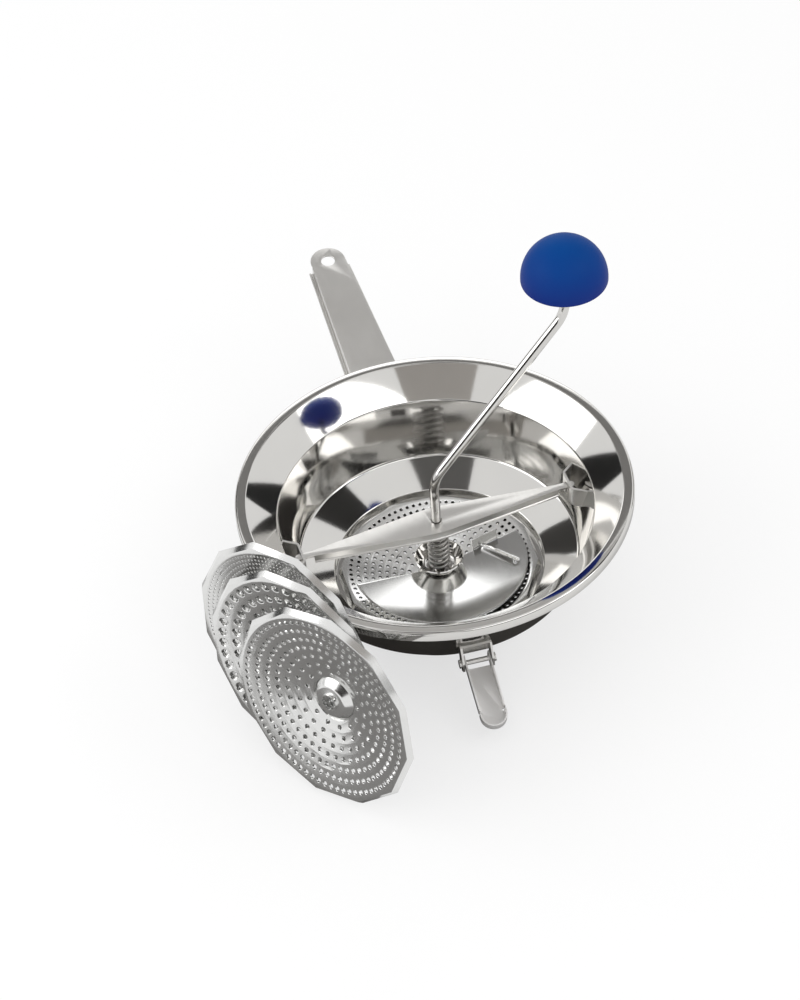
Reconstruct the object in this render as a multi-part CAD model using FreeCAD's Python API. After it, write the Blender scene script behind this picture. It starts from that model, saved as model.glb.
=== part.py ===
import FreeCAD, Part
import math
import os

os.makedirs("parts", exist_ok=True)

V = FreeCAD.Vector
O = V(0, 0, 0)
X = V(1, 0, 0)
Y = V(0, 1, 0)
Z = V(0, 0, 1)
FULL = 360.0

# All lengths in millimetres. The bowl axis is Z, the floor is z = 0,
# the handle points along +Y, the rest foot along -Y and the crossbar along X.

# Bowl: one pressed sheet, rim lip, sloping brim, wall, lower cone, collar with the disc ledge, base ring
SHEET = 1.0
RIM_R = 120.0
RIM_Z = 84.0
LIP = 6.0
LAND = 6.5
STEP_R = 96.0
STEP_Z = 67.5
WAIST_R = 86.0
WAIST_Z = 30.0
COLLAR_R = 64.5
COLLAR_Z = 19.5
LEDGE_Z = 12.5
SEAT_R = 60.0
SEAT_BORE = 55.0
BOWL_BENDS = [1.8, 1.6, 2.5, 3.0, 1.2, 0.8, 1.2, 0.8]

# Handle: channel welded under the rim
HANDLE_GAUGE = 1.2
HANDLE_ROOT_R = 100.0
HANDLE_OVERRUN = 9.0
HANDLE_LENGTH = 134.0
HANDLE_RISE = 9.0
HANDLE_UNDER_LIP = 1.5
HANDLE_ROOT_HALF = 16.0
HANDLE_TIP_HALF = 11.5
HANDLE_BEND = 2.0
HANDLE_SKIRT_ROOT = 9.0
HANDLE_SKIRT_TIP = 5.0
HANDLE_SKIRT_STOP = 14.0
HEM_R = 1.3
PANEL_START = 28.0
PANEL_END = 100.0
PANEL_MARGIN = 5.0
PANEL_BEAD = 1.4
PANEL_RAISE = 0.5
HANG_R = 4.5
HANG_INSET = 11.5

# Crossbar: channel widest at the rod and tapering straight to a tongue at each end
BAR_TOP = 56.0
BAR_GAUGE = 1.2
BAR_HALF = 11.7
BAR_END_HALF = 2.3
BAR_END_X = 78.0
BAR_NOSE = 60.0
BAR_SKIRT = 4.2
BAR_BEND = 1.5
BAR_BEAD_R = 1.0
TONGUE_X = 89.2
BAR_BORE = 3.5

# Catches: bent straps welded to the bowl wall
CATCH_GAUGE = 1.4
CATCH_X = 84.5
CATCH_HALF = 8.0
CATCH_FOOT_X = 99.0
CATCH_FOOT_HALF = 19.0
CATCH_BEND = 2.5
CATCH_LOW = 46.0
CATCH_HIGH = 59.5
NOTCH_HALF = 4.0
NOTCH_GAP = 0.3

# Grating discs: cone with a flat border and a twelve-sided flared flange
DISC_GAUGE = 0.9
DISC_SIDES = 12
FOLD_R = 61.0
EDGE_R = 63.5
FLANGE_H = 6.0
CONE_R = 58.0
CROWN_R = 14.6
CONE_RISE = 11.0
FITTED_TURN = 12.4
HOLE_SIDES = 6

# Centre boss of each disc: dished washer with a short eyelet
BOSS_GAUGE = 0.8
BOSS_R = 17.5
BOSS_LIFT = 0.88
BOSS_SHOULDER = 13.8
DISH_DEPTH = 4.0
DISH_R = 9.5
EYELET_R = 4.5
EYELET_DEPTH = 2.5
BOSS_BENDS = [0.9, 1.2, 1.0]

# Crank: bent rod, blade, hub, cross pin, spring and cup
CRANK_AZ = 10.0
ROD_R = 3.0
ROD_BEND = 20.0
ROD_KNEE_Z = 89.0
THROW = 93.0
THROW_Z = 178.0
ROD_TOP = 220.0
RING_Z = 214.0
RING_GROOVE_R = 2.2
RING_GROOVE_H = 1.1
PIN_R = 0.8
PIN_LENGTH = 12.0
PIN_PLAY = 0.02

HUB_R = 6.0
HUB_BORE = 3.02
SPIGOT_R = 4.45
HUB_LIFT = 0.5
SPIGOT_DEPTH = 4.2

BLADE_GAUGE = 1.0
HUB_H = 2.6
BLADE_BORE = 4.6
BLADE_RING_R = 13.5
BLADE_ROOT_R = 8.0
BLADE_RING_GAUGE = 1.2
BLADE_SINK = 0.1
BLADE_R = 54.5
BLADE_TRAIL_AZ = 10.0
BLADE_SWEEP = 185.0
BLADE_STATIONS = 9
BLADE_CLEAR = 0.6
BLADE_LEAD_RISE = 5.0
BLADE_CURVE = 1.3
TAB_IN_R = 24.0
TAB_OUT_R = 41.0
TAB_H = 7.0
TAB_SINK = 0.6
RIB_IN_R = 30.0
RIB_IN_AZ = 7.0
RIB_OUT_R = 46.5
RIB_OUT_AZ = -20.8
RIB_R = 1.8

CUP_GAUGE = 0.8
CUP_BORE = 3.1
CUP_FLOOR_R = 9.5
CUP_LIP_R = 14.5
CUP_H = 8.2
CUP_BEND = 4.0
WASHER_R = 8.0
WASHER_GAUGE = 1.0
WIRE_R = 0.9
COIL_R = 6.0
COILS = 9.0

# Knob: half-ball grip with a coned underside, turning on the end of the rod
KNOB_R = 25.5
KNOB_BASE_R = 9.0
KNOB_UNDER = 7.5
KNOB_WAIST = 9.5
KNOB_BENDS = [2.0, 1.2]
KNOB_Z = 196.0
KNOB_BORE = 3.05
KNOB_BORE_TOP = 221.0
KNOB_GROOVE_R = 3.6
KNOB_GROOVE_H = 1.9
SNAP_R = 2.75
SNAP_WIRE = 0.5
SNAP_SWEEP = 325.0

# Rest foot: hinged tray with an upturned edge, on a two-eared bracket below the wall
FOOT_R = 91.5
FOOT_Z = 26.0
FOOT_TURN = -4.0
FOOT_DROOP = 17.0
FOOT_GAUGE = 1.0
FOOT_WIDTH = 16.0
FOOT_BACK = 3.5
FOOT_OVER = 3.0
FOOT_UNDER = 2.0
FOOT_PLATE = 4.0
FOOT_SLOT_Y = 33.0
FOOT_TIP = 36.5
FOOT_SLOT = 1.6
FOOT_SLOT_DEEP = 1.9
FOOT_BORE = 1.55
EAR_GAUGE = 1.2
EAR_GAP = 0.4
EAR_REACH = 4.0
EAR_DROP = 3.0
BRACKET_LOW = 31.0
BRACKET_HIGH = 38.0
BRACKET_OUT = 90.6
BRACKET_GAUGE = 1.3
AXLE_R = 1.5
AXLE_HEAD_R = 2.6
AXLE_HEAD = 1.5

# Loose discs: stood on edge in a row that leans on the rim
LEAN_AZ = 34.7
LEAN = 10.0
LEAN_BACK = 130.0
LEAN_GAP = 0.4

# Rings of holes in each disc, as (radius, number of holes), with half the width of a hole
FITTED_RINGS = [(51.5, 20), (43.5, 16), (35.0, 14), (26.0, 10)]
FITTED_HOLE = 1.5
FINE_RINGS = [(51.5, 24), (43.5, 20), (35.0, 16), (26.0, 12)]
FINE_HOLE = 0.8
COARSE_RINGS = [(51.0, 26), (42.0, 21), (33.0, 16), (24.5, 11)]
COARSE_HOLE = 2.8
MEDIUM_RINGS = [(51.0, 30), (43.5, 24), (36.0, 18), (28.5, 14)]
MEDIUM_HOLE = 1.5

# Loose discs from the bowl outwards: how far each stands along the row and how far it is rolled
FINE_ASIDE, FINE_ROLL = 10.0, 8.0
COARSE_ASIDE, COARSE_ROLL = -10.0, 8.0
MEDIUM_ASIDE, MEDIUM_ROLL = -42.0, 2.0

# Heights that follow from the sizes above
FITTED_Z = LEDGE_Z + FLANGE_H
CONE_SLOPE = CONE_RISE / (CONE_R - CROWN_R)
BOSS_H = DISC_GAUGE + (CONE_R - BOSS_SHOULDER) * CONE_SLOPE + BOSS_LIFT
LEAN_STEP = BOSS_H + LEAN_GAP
EYELET_Z = FITTED_Z - BOSS_H + DISH_DEPTH + EYELET_DEPTH
HUB_Z = EYELET_Z + HUB_LIFT
ROD_LOW = HUB_Z - SPIGOT_DEPTH
BLADE_Z = HUB_Z + HUB_H
PIN_Z = (HUB_Z + BLADE_Z) / 2
CUP_Z = BLADE_Z + BLADE_RING_GAUGE
SPRING_LOW = CUP_Z + CUP_GAUGE
SPRING_HIGH = BAR_TOP - BAR_GAUGE - WASHER_GAUGE


def polar(radius, degrees, z=0.0):
    angle = math.radians(degrees)
    return V(radius * math.cos(angle), radius * math.sin(angle), z)


def rounded_path(points, bends):
    """Open run of straight lines with a tangent arc at every inner corner."""
    edges = []
    start = points[0]
    for before, corner, after, bend in zip(points, points[1:], points[2:], bends):
        back = (before - corner).normalize()
        ahead = (after - corner).normalize()
        half = back.getAngle(ahead) / 2
        first = corner + back * (bend / math.tan(half))
        last = corner + ahead * (bend / math.tan(half))
        middle = corner + (back + ahead).normalize() * (bend / math.sin(half) - bend)
        edges.append(Part.LineSegment(start, first).toShape())
        edges.append(Part.Arc(first, middle, last).toShape())
        start = last
    edges.append(Part.LineSegment(start, points[-1]).toShape())
    return Part.Wire(edges)


def closed_face(points):
    return Part.Face(Part.makePolygon(points + points[:1]))


def turned(profile):
    """Solid of revolution about Z from (radius, height) corners."""
    return closed_face([V(r, 0, z) for r, z in profile]).revolve(O, Z, FULL)


def spun_sheet(profile, bends, gauge):
    """Sheet of even gauge below the (radius, height) line, turned about Z."""
    path = rounded_path([V(r, 0, z) for r, z in profile], bends)
    band = path.makeOffset2D(gauge, 0, True, True, False)
    return band.Faces[0].revolve(O, Z, FULL)


def tube(outer, inner, low, high):
    body = Part.makeCylinder(outer, high - low, V(0, 0, low))
    return body.cut(Part.makeCylinder(inner, high - low, V(0, 0, low)))


def box(x0, x1, y0, y1, z0, z1):
    return Part.makeBox(x1 - x0, y1 - y0, z1 - z0, V(x0, y0, z0))


def bowl():
    profile = [(RIM_R, RIM_Z - LIP), (RIM_R, RIM_Z), (RIM_R - LAND, RIM_Z), (STEP_R, STEP_Z)]
    profile += [(WAIST_R, WAIST_Z), (COLLAR_R, COLLAR_Z), (COLLAR_R, LEDGE_Z)]
    profile += [(SEAT_R, LEDGE_Z), (SEAT_R, SHEET), (SEAT_BORE, SHEET)]
    return spun_sheet(profile, BOWL_BENDS, SHEET)


def bowl_inside():
    """The space within the wall, used to trim the pieces welded to it."""
    return turned([(0, WAIST_Z), (WAIST_R, WAIST_Z), (STEP_R, STEP_Z), (RIM_R - LAND, RIM_Z), (0, RIM_Z)])


def handle_half(y):
    taper = (HANDLE_TIP_HALF - HANDLE_ROOT_HALF) / (HANDLE_LENGTH - HANDLE_TIP_HALF)
    return HANDLE_ROOT_HALF + taper * y


def handle_skirt(y):
    return HANDLE_SKIRT_ROOT + (HANDLE_SKIRT_TIP - HANDLE_SKIRT_ROOT) * y / HANDLE_LENGTH


def handle_section(y):
    half = handle_half(y)
    skirt = handle_skirt(y)
    corners = [V(half, y, -skirt), V(half, y, 0), V(-half, y, 0), V(-half, y, -skirt)]
    path = rounded_path(corners, [HANDLE_BEND, HANDLE_BEND])
    return path.makeOffset2D(HANDLE_GAUGE, 0, True, True, False).Wires[0]


def handle_hem(side, start, stop):
    rings = []
    for y in (start, stop):
        centre = V(side * handle_half(y), y, -handle_skirt(y))
        rings.append(Part.Wire(Part.makeCircle(HEM_R, centre, Y)))
    return Part.makeLoft(rings, True, True)


def panel_face(margin):
    near = PANEL_START + margin - PANEL_MARGIN
    far = PANEL_END - margin + PANEL_MARGIN
    wide = handle_half(near) - margin
    narrow = handle_half(far) - margin
    z = -HANDLE_GAUGE / 2
    return closed_face([V(-wide, near, z), V(wide, near, z), V(narrow, far, z), V(-narrow, far, z)])


def handle(welded):
    stop = HANDLE_LENGTH - HANDLE_SKIRT_STOP
    start = -HANDLE_OVERRUN
    body = Part.makeLoft([handle_section(start), handle_section(stop)], True, True)
    edge = stop - HANDLE_GAUGE
    tip_y = HANDLE_LENGTH - HANDLE_TIP_HALF
    outline = Part.makePolygon([V(HANDLE_TIP_HALF, tip_y, 0), V(handle_half(edge), edge, 0),
                                V(-handle_half(edge), edge, 0), V(-HANDLE_TIP_HALF, tip_y, 0)])
    arc = Part.Arc(V(-HANDLE_TIP_HALF, tip_y, 0), V(0, HANDLE_LENGTH, 0), V(HANDLE_TIP_HALF, tip_y, 0))
    tip = Part.Face(Part.Wire(outline.Edges + [arc.toShape()])).extrude(Z * -HANDLE_GAUGE)
    lift = Z * (PANEL_RAISE + HANDLE_GAUGE / 2)
    border = panel_face(PANEL_MARGIN).extrude(lift).cut(panel_face(PANEL_MARGIN + PANEL_BEAD).extrude(lift))
    body = body.fuse([tip, border, handle_hem(1, start, stop), handle_hem(-1, start, stop)])
    hang = V(0, HANDLE_LENGTH - HANG_INSET, -HANDLE_SKIRT_ROOT)
    body = body.cut(Part.makeCylinder(HANG_R, 2 * HANDLE_SKIRT_ROOT, hang))
    body.rotate(O, X, HANDLE_RISE)
    climb = (RIM_R - HANDLE_ROOT_R) * math.tan(math.radians(HANDLE_RISE))
    body.translate(V(0, HANDLE_ROOT_R, RIM_Z - LIP - HANDLE_UNDER_LIP - climb))
    body = body.cut(welded).removeSplitter()
    return max(body.Solids, key=lambda solid: solid.Volume)


def bar_side(half, end_half, side, z):
    corners = [V(-BAR_END_X, side * end_half, z), V(0, side * half, z), V(BAR_END_X, side * end_half, z)]
    return rounded_path(corners, [BAR_NOSE])


def bar_face(half, end_half, z):
    back = bar_side(half, end_half, 1, z)
    front = bar_side(half, end_half, -1, z)
    ends = [Part.makeLine(V(x, end_half, z), V(x, -end_half, z)) for x in (BAR_END_X, -BAR_END_X)]
    return Part.Face(Part.Wire(Part.sortEdges(back.Edges + front.Edges + ends)[0]))


def bar_bead(side):
    inset = BAR_GAUGE / 2
    path = bar_side(BAR_HALF - inset, BAR_END_HALF - inset, side, BAR_TOP - BAR_SKIRT)
    first = path.Edges[0]
    start = first.valueAt(first.FirstParameter)
    ring = Part.Wire(Part.makeCircle(BAR_BEAD_R, start, first.tangentAt(first.FirstParameter)))
    return path.makePipeShell([ring], True, False)


def crossbar():
    low = BAR_TOP - BAR_SKIRT
    body = bar_face(BAR_HALF, BAR_END_HALF, low).extrude(Z * BAR_SKIRT)
    shoulders = [e for e in body.Edges if e.BoundBox.XLength > BAR_END_HALF
                 and e.BoundBox.ZMin > low + BAR_SKIRT / 2]
    body = body.makeFillet(BAR_BEND, shoulders)
    slack = BAR_GAUGE
    inner = bar_face(BAR_HALF - BAR_GAUGE, BAR_END_HALF - BAR_GAUGE, low - slack)
    body = body.cut(inner.extrude(Z * (BAR_SKIRT - BAR_GAUGE + slack)))
    pieces = [bar_bead(1), bar_bead(-1)]
    plate_z = BAR_TOP - BAR_GAUGE
    reach = TONGUE_X - BAR_END_HALF
    for side in (1, -1):
        root = side * (BAR_END_X - 2 * BAR_GAUGE)
        run = sorted([root, side * reach])
        pieces.append(box(run[0], run[1], -BAR_END_HALF, BAR_END_HALF, plate_z, BAR_TOP))
        pieces.append(Part.makeCylinder(BAR_END_HALF, BAR_GAUGE, V(side * reach, 0, plate_z)))
    body = body.fuse(pieces)
    return body.cut(Part.makeCylinder(BAR_BORE, BAR_SKIRT, V(0, 0, low))).removeSplitter()


def catch(side, inside):
    line = [V(CATCH_FOOT_X, -CATCH_FOOT_HALF, CATCH_LOW), V(CATCH_X, -CATCH_HALF, CATCH_LOW)]
    line += [V(CATCH_X, CATCH_HALF, CATCH_LOW), V(CATCH_FOOT_X, CATCH_FOOT_HALF, CATCH_LOW)]
    path = rounded_path(line, [CATCH_BEND, CATCH_BEND])
    band = path.makeOffset2D(CATCH_GAUGE, 0, True, True, False).Faces[0]
    strap = band.extrude(Z * (CATCH_HIGH - CATCH_LOW))
    notch_top = BAR_TOP + NOTCH_GAP
    notch = box(CATCH_X - CATCH_HALF, TONGUE_X, -NOTCH_HALF, NOTCH_HALF, CATCH_LOW, notch_top)
    strap = strap.cut(notch).common(inside)
    if side < 0:
        strap.rotate(O, Z, FULL / 2)
    return strap


def side_ring(radius, z):
    return Part.makePolygon([polar(radius, FULL * k / DISC_SIDES, z) for k in range(DISC_SIDES + 1)])


def cone_top(radius):
    return DISC_GAUGE + (CONE_R - radius) * CONE_SLOPE


def disc(rings, hole_r):
    """Grating disc with its fold on z = 0 and its crown up."""
    outer = Part.makeLoft([side_ring(FOLD_R, 0), side_ring(EDGE_R, FLANGE_H)], True, True)
    hollow = Part.makeLoft([side_ring(FOLD_R - DISC_GAUGE, DISC_GAUGE),
                            side_ring(EDGE_R - DISC_GAUGE, FLANGE_H + DISC_GAUGE)], True, True)
    pan = outer.cut(hollow).cut(Part.makeCylinder(CONE_R - DISC_GAUGE, FLANGE_H))
    crown = CONE_RISE + DISC_GAUGE
    cone = turned([(CONE_R, 0), (CROWN_R, CONE_RISE), (CROWN_R, crown), (CONE_R, DISC_GAUGE)])
    holes = []
    for index, (radius, count) in enumerate(rings):
        for k in range(count):
            centre = polar(radius, FULL * (k + index % 2 / 2) / count)
            corners = [centre + polar(hole_r, FULL * i / HOLE_SIDES) for i in range(HOLE_SIDES)]
            holes.append(closed_face(corners).extrude(Z * (CONE_RISE + FLANGE_H)))
    return pan.fuse(cone).cut(holes).removeSplitter()


def boss():
    """Dished centre washer, in the same local frame as its disc."""
    floor = BOSS_H - DISH_DEPTH
    profile = [(BOSS_R, cone_top(BOSS_R) + BOSS_LIFT), (BOSS_SHOULDER, BOSS_H), (DISH_R, floor)]
    profile += [(EYELET_R, floor), (EYELET_R, floor - EYELET_DEPTH)]
    return spun_sheet(profile, BOSS_BENDS, BOSS_GAUGE)


def seated(shape):
    """Turn a disc or its boss hollow side up and set its flange on the ledge."""
    shape.rotate(O, X, FULL / 2)
    shape.rotate(O, Z, FITTED_TURN)
    shape.translate(Z * FITTED_Z)
    return shape


def leaned(pieces, place, aside, turn):
    """Stand a disc and its boss on the floor, leaning towards the bowl."""
    apex = polar(math.cos(math.radians(LEAN)), LEAN_AZ, -math.sin(math.radians(LEAN)))
    across = polar(1.0, LEAN_AZ + FULL / 4)
    uphill = apex.cross(across)
    for shape in pieces:
        shape.rotate(O, Z, turn)
        shape.rotate(O, Y, FULL / 4 + LEAN)
        shape.rotate(O, Z, LEAN_AZ)
        shape.translate(Z * RIM_Z + across * aside - apex * (LEAN_BACK + place * LEAN_STEP))
    drop = min(v.Point.z for v in pieces[0].Vertexes)
    for shape in pieces:
        shape.translate(uphill * (-drop / uphill.z))
    return pieces


def crank_rod():
    path = rounded_path([V(0, 0, ROD_LOW), V(0, 0, ROD_KNEE_Z), V(THROW, 0, THROW_Z), V(THROW, 0, ROD_TOP)],
                        [ROD_BEND, ROD_BEND])
    section = Part.Wire(Part.makeCircle(ROD_R, V(0, 0, ROD_LOW), Z))
    rod = path.makePipeShell([section], True, False)
    groove = tube(2 * ROD_R, RING_GROOVE_R, RING_Z - RING_GROOVE_H / 2, RING_Z + RING_GROOVE_H / 2)
    groove.translate(X * THROW)
    cross = Part.makeCylinder(PIN_R + PIN_PLAY, 4 * ROD_R, V(-2 * ROD_R, 0, PIN_Z), X)
    rod = rod.cut([groove, cross])
    rod.rotate(O, Z, CRANK_AZ)
    return rod


def blade_height(radius, share):
    """Underside of the blade; share runs from 0 at the trailing to 1 at the leading edge."""
    rim = FITTED_Z + BLADE_CLEAR + BLADE_LEAD_RISE * share ** BLADE_CURVE
    root = BLADE_Z + BLADE_SINK
    return root + (rim - root) * (radius - BLADE_ROOT_R) / (BLADE_R - BLADE_ROOT_R)


def blade_line(share, radii, lift):
    degrees = BLADE_TRAIL_AZ - BLADE_SWEEP * share
    return [polar(r, degrees, blade_height(r, share) + lift) for r in radii]


def blade():
    stations = []
    for k in range(BLADE_STATIONS):
        share = k / (BLADE_STATIONS - 1)
        lower = blade_line(share, [BLADE_ROOT_R, BLADE_R], 0)
        upper = blade_line(share, [BLADE_R, BLADE_ROOT_R], BLADE_GAUGE)
        stations.append(Part.makePolygon(lower + upper + lower[:1]))
    wing = Part.makeLoft(stations, True, False)
    ring = tube(BLADE_RING_R, BLADE_BORE, BLADE_Z, CUP_Z)
    tab_low = blade_line(0, [TAB_IN_R, TAB_OUT_R], TAB_SINK)
    tab_high = blade_line(0, [TAB_OUT_R, TAB_IN_R], TAB_SINK + TAB_H)
    tab = closed_face(tab_low + tab_high).extrude(polar(BLADE_GAUGE, BLADE_TRAIL_AZ - FULL / 4))
    ends = []
    for radius, degrees in ((RIB_IN_R, RIB_IN_AZ), (RIB_OUT_R, RIB_OUT_AZ)):
        ends += blade_line((BLADE_TRAIL_AZ - degrees) / BLADE_SWEEP, [radius], BLADE_GAUGE / 2)
    run = ends[1] - ends[0]
    rib = Part.makeCylinder(RIB_R, run.Length, ends[0], run)
    rib = rib.fuse([Part.makeSphere(RIB_R, end) for end in ends])
    return wing.fuse([ring, tab, rib]).removeSplitter()


def blade_hub():
    collar = tube(HUB_R, HUB_BORE, HUB_Z, BLADE_Z)
    spigot = tube(SPIGOT_R, HUB_BORE, ROD_LOW, HUB_Z)
    neck = tube(BLADE_BORE, HUB_BORE, BLADE_Z, CUP_Z)
    cross = Part.makeCylinder(PIN_R + PIN_PLAY, 4 * HUB_R, V(-2 * HUB_R, 0, PIN_Z), X)
    cross.rotate(O, Z, CRANK_AZ)
    return collar.fuse([spigot, neck]).cut(cross).removeSplitter()


def drive_pin():
    pin = Part.makeCylinder(PIN_R, PIN_LENGTH, V(-PIN_LENGTH / 2, 0, PIN_Z), X)
    pin.rotate(O, Z, CRANK_AZ)
    return pin


def spring_cup():
    profile = [(CUP_LIP_R, SPRING_LOW + CUP_H), (CUP_FLOOR_R, SPRING_LOW), (CUP_BORE, SPRING_LOW)]
    return spun_sheet(profile, [CUP_BEND], CUP_GAUGE)


def spring():
    height = SPRING_HIGH - SPRING_LOW - 2 * WIRE_R
    helix = Part.makeHelix(height / COILS, height, COIL_R)
    section = Part.Wire(Part.makeCircle(WIRE_R, V(COIL_R, 0, 0), Y))
    coil = Part.Wire(helix.Edges).makePipeShell([section], True, True)
    coil.translate(Z * (SPRING_LOW + WIRE_R))
    return coil


def knob():
    corners = [O, V(KNOB_BASE_R, 0, 0), V(KNOB_R, 0, KNOB_UNDER), V(KNOB_R, 0, KNOB_WAIST)]
    under = rounded_path(corners, KNOB_BENDS)
    slant = KNOB_R * math.sqrt(0.5)
    top = V(0, 0, KNOB_WAIST + KNOB_R)
    dome = Part.Arc(corners[-1], V(slant, 0, KNOB_WAIST + slant), top).toShape()
    axis = Part.makeLine(top, O)
    body = Part.Face(Part.Wire(under.Edges + [dome, axis])).revolve(O, Z, FULL)
    bore = Part.makeCylinder(KNOB_BORE, KNOB_BORE_TOP - KNOB_Z)
    groove = Part.makeCylinder(KNOB_GROOVE_R, KNOB_GROOVE_H, V(0, 0, RING_Z - KNOB_Z - KNOB_GROOVE_H / 2))
    body = body.cut([bore, groove])
    body.translate(polar(THROW, CRANK_AZ, KNOB_Z))
    return body


def snap_ring():
    wire = Part.Face(Part.Wire(Part.makeCircle(SNAP_WIRE, V(SNAP_R, 0, 0), Y)))
    ring = wire.revolve(O, Z, SNAP_SWEEP)
    ring.translate(polar(THROW, CRANK_AZ, RING_Z))
    return ring


def on_bracket(shape):
    """Carry a piece of the rest foot from the -Y side to where it sits on the bowl."""
    shape.rotate(O, Z, FOOT_TURN)
    return shape


def foot_block(half, low):
    high = FOOT_OVER - low
    run = box(-half, half, -FOOT_TIP, FOOT_BACK, low, FOOT_OVER)
    return run.fuse(Part.makeCylinder(half, high, V(0, -FOOT_TIP, low)))


def foot():
    half = FOOT_WIDTH / 2
    inner = half - FOOT_GAUGE
    body = foot_block(half, -FOOT_UNDER).cut(foot_block(inner, FOOT_GAUGE - FOOT_UNDER))
    cuts = [box(-inner, inner, -FOOT_PLATE, FOOT_BACK, -FOOT_UNDER, FOOT_OVER)]
    slot_end = -FOOT_SLOT_Y - FOOT_SLOT
    for x in (-half, half - FOOT_SLOT_DEEP):
        cuts.append(box(x, x + FOOT_SLOT_DEEP, slot_end, -FOOT_SLOT_Y, -FOOT_UNDER, FOOT_OVER))
    cuts.append(Part.makeCylinder(FOOT_BORE, FOOT_WIDTH, V(-half, 0, 0), X))
    body = body.cut(cuts).removeSplitter()
    body.rotate(O, X, FOOT_DROOP)
    body.translate(V(0, -FOOT_R, FOOT_Z))
    return on_bracket(body)


def foot_bracket(welded):
    inner = FOOT_WIDTH / 2 + EAR_GAP
    outer = inner + EAR_GAUGE
    outline = [(WAIST_R, BRACKET_HIGH), (BRACKET_OUT, BRACKET_HIGH), (FOOT_R + EAR_REACH, FOOT_Z + EAR_DROP)]
    outline += [(FOOT_R + EAR_REACH, FOOT_Z - EAR_DROP), (FOOT_R, FOOT_Z - 2 * EAR_DROP)]
    outline += [(FOOT_R - EAR_REACH, FOOT_Z - EAR_DROP), (WAIST_R, BRACKET_LOW)]
    ears = []
    for x in (-outer, inner):
        ears.append(closed_face([V(x, -r, z) for r, z in outline]).extrude(X * EAR_GAUGE))
    lean = (STEP_R - WAIST_R) / (STEP_Z - WAIST_Z) * (BRACKET_HIGH - BRACKET_LOW)
    back = [(WAIST_R - BRACKET_GAUGE, BRACKET_LOW), (BRACKET_OUT - lean, BRACKET_LOW)]
    back += [(BRACKET_OUT, BRACKET_HIGH), (WAIST_R - BRACKET_GAUGE, BRACKET_HIGH)]
    plate = closed_face([V(-outer, -r, z) for r, z in back]).extrude(X * 2 * outer)
    body = plate.fuse(ears)
    bore = Part.makeCylinder(AXLE_R, 2 * outer, V(-outer, -FOOT_R, FOOT_Z), X)
    return on_bracket(body.cut([bore] + welded).removeSplitter())


def foot_pin():
    outer = FOOT_WIDTH / 2 + EAR_GAP + EAR_GAUGE
    shaft = Part.makeCylinder(AXLE_R, 2 * outer, V(-outer, -FOOT_R, FOOT_Z), X)
    heads = []
    for x in (-outer - AXLE_HEAD, outer):
        heads.append(Part.makeCylinder(AXLE_HEAD_R, AXLE_HEAD, V(x, -FOOT_R, FOOT_Z), X))
    return on_bracket(shaft.fuse(heads).removeSplitter())


def build():
    shell = bowl()
    inside = bowl_inside()
    welded = [shell, inside]
    parts = {"bowl": shell, "handle": handle(welded)}
    parts["catch_right"] = catch(1, inside)
    parts["catch_left"] = catch(-1, inside)
    parts["crossbar"] = crossbar()
    parts["spring_washer"] = tube(WASHER_R, CUP_BORE, SPRING_HIGH, SPRING_HIGH + WASHER_GAUGE)
    parts["crank_rod"] = crank_rod()
    parts["knob"] = knob()
    parts["knob_snap_ring"] = snap_ring()
    parts["spring"] = spring()
    parts["spring_cup"] = spring_cup()
    parts["blade"] = blade()
    parts["blade_hub"] = blade_hub()
    parts["drive_pin"] = drive_pin()
    parts["foot_bracket"] = foot_bracket(welded)
    parts["foot_pin"] = foot_pin()
    parts["foot"] = foot()
    parts["disc_fitted"] = seated(disc(FITTED_RINGS, FITTED_HOLE))
    parts["boss_fitted"] = seated(boss())
    loose = [("fine", FINE_RINGS, FINE_HOLE, FINE_ASIDE, FINE_ROLL),
             ("coarse", COARSE_RINGS, COARSE_HOLE, COARSE_ASIDE, COARSE_ROLL),
             ("medium", MEDIUM_RINGS, MEDIUM_HOLE, MEDIUM_ASIDE, MEDIUM_ROLL)]
    for place, (name, rings, hole_r, aside, turn) in enumerate(loose):
        pair = leaned([disc(rings, hole_r), boss()], place, aside, turn)
        parts["disc_" + name], parts["boss_" + name] = pair
    return parts


for node, shape in build().items():
    shape.exportStep("parts/" + node + ".step")
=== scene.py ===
import math

import bmesh
import bpy
from mathutils import Euler, Matrix, Vector


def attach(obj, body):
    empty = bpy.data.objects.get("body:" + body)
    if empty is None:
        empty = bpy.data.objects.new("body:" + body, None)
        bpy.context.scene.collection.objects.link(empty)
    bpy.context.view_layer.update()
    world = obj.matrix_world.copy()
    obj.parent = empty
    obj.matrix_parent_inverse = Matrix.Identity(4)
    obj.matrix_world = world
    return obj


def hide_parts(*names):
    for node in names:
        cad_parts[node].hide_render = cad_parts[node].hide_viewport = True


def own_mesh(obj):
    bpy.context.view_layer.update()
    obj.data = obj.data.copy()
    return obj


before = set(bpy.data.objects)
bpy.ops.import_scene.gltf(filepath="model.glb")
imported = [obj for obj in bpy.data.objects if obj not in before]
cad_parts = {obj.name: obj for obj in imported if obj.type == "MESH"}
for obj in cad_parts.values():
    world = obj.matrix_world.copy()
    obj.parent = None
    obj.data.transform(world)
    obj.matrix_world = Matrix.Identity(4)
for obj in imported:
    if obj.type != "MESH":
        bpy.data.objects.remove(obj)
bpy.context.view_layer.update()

# Pieces are shaped in millimetres in the object's own frame: bowl axis on Z, floor at zero,
# handle along +Y, rest foot along -Y, crossbar along X. place() turns them into metres.
METRE = 0.001
TURN = 2 * math.pi

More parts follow.
